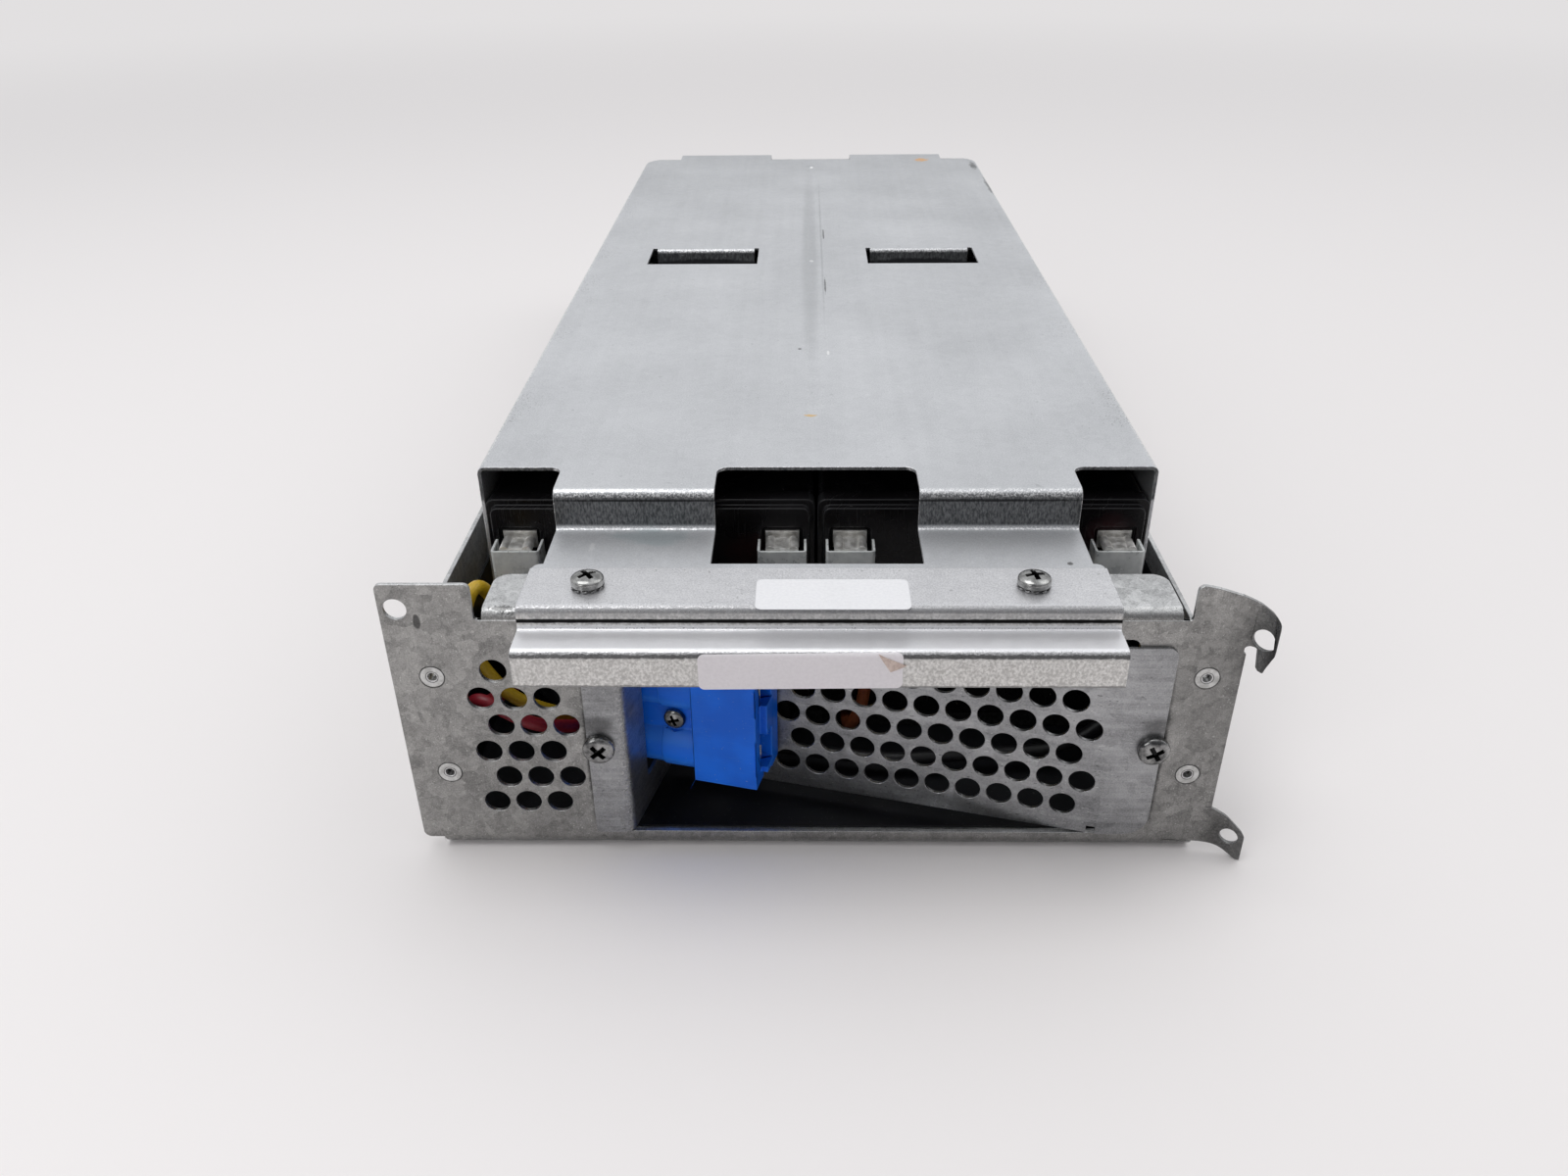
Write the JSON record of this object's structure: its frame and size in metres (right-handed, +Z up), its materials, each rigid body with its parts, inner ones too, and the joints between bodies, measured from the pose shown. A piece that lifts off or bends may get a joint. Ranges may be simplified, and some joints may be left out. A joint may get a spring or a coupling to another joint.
{
  "type": "rack battery module",
  "caption": "Slide-in 48 V battery module for a two-unit rack power supply: steel tray, cover, pull handle, connector and sealed batteries.",
  "frame": {"origin": "middle of the tray's underside, halfway between the front plate's outer face and the rear wall's outer face", "axes": "+Y towards the rear, away from the handle and the connector; +X to the right seen from the front; +Z up"},
  "size_m": [0.2127, 0.4886, 0.0852],
  "materials": {
    "tray_steel": "grey zinc-coated sheet steel, satin with faint spangle",
    "galvanised_cover": "light galvanised sheet steel, satin",
    "galvanised_handle": "bright galvanised sheet steel, satin",
    "rivet_steel": "flush steel rivets, satin",
    "zinc_screws": "bright zinc plating",
    "nut_steel": "zinc-plated steel",
    "blue_plastic": "moulded polycarbonate, slight sheen",
    "silver_contact": "silver-plated copper",
    "spring_steel": "stainless spring steel",
    "black_liner": "smooth black insulation sheet",
    "foam": "closed-cell black foam",
    "battery_plastic": "black ABS, slight sheen",
    "battery_lid": "black ABS, slight sheen",
    "tinned_brass": "tin-plated brass",
    "clear_sleeve": "milky translucent vinyl",
    "red_wire": "smooth insulation",
    "yellow_wire": "smooth insulation",
    "black_wire": "smooth insulation",
    "brown_wire": "smooth insulation"
  },
  "bodies": {
    "root": {"tray": "tray_steel", "corner_rivets": "rivet_steel", "top_cover": "galvanised_cover", "front_handle": "galvanised_handle", "cover_screws": "zinc_screws", "lock_washers": "zinc_screws", "connector_bracket": "tray_steel", "bracket_screws": "zinc_screws", "rear_screws": "zinc_screws", "clinch_nuts": "nut_steel", "connector_housing": "blue_plastic", "connector_contacts": "silver_contact", "contact_springs": "spring_steel", "connector_screw": "zinc_screws", "connector_nut": "nut_steel", "insulation_liner": "black_liner", "base_foam": "foam", "row_pads": "foam", "top_foam": "foam", "battery_case_1": "battery_plastic", "battery_case_2": "battery_plastic", "battery_case_3": "battery_plastic", "battery_case_4": "battery_plastic", "battery_case_5": "battery_plastic", "battery_case_6": "battery_plastic", "battery_case_7": "battery_plastic", "battery_case_8": "battery_plastic", "battery_lid_1": "battery_lid", "battery_lid_2": "battery_lid", "battery_lid_3": "battery_lid", "battery_lid_4": "battery_lid", "battery_lid_5": "battery_lid", "battery_lid_6": "battery_lid", "battery_lid_7": "battery_lid", "battery_lid_8": "battery_lid", "vent_covers": "battery_plastic", "positive_blades": "tinned_brass", "negative_blades": "tinned_brass", "blade_receptacles": "tinned_brass", "terminal_sleeves": "clear_sleeve", "wire_front_left": "red_wire", "wire_front_right": "yellow_wire", "wire_side_left": "yellow_wire", "wire_side_right": "black_wire", "link_front_left": "black_wire", "link_front_right": "brown_wire", "link_rear_left": "brown_wire", "link_rear_right": "brown_wire", "link_middle": "black_wire", "link_rear": "black_wire"}
  },
  "joints": []
}
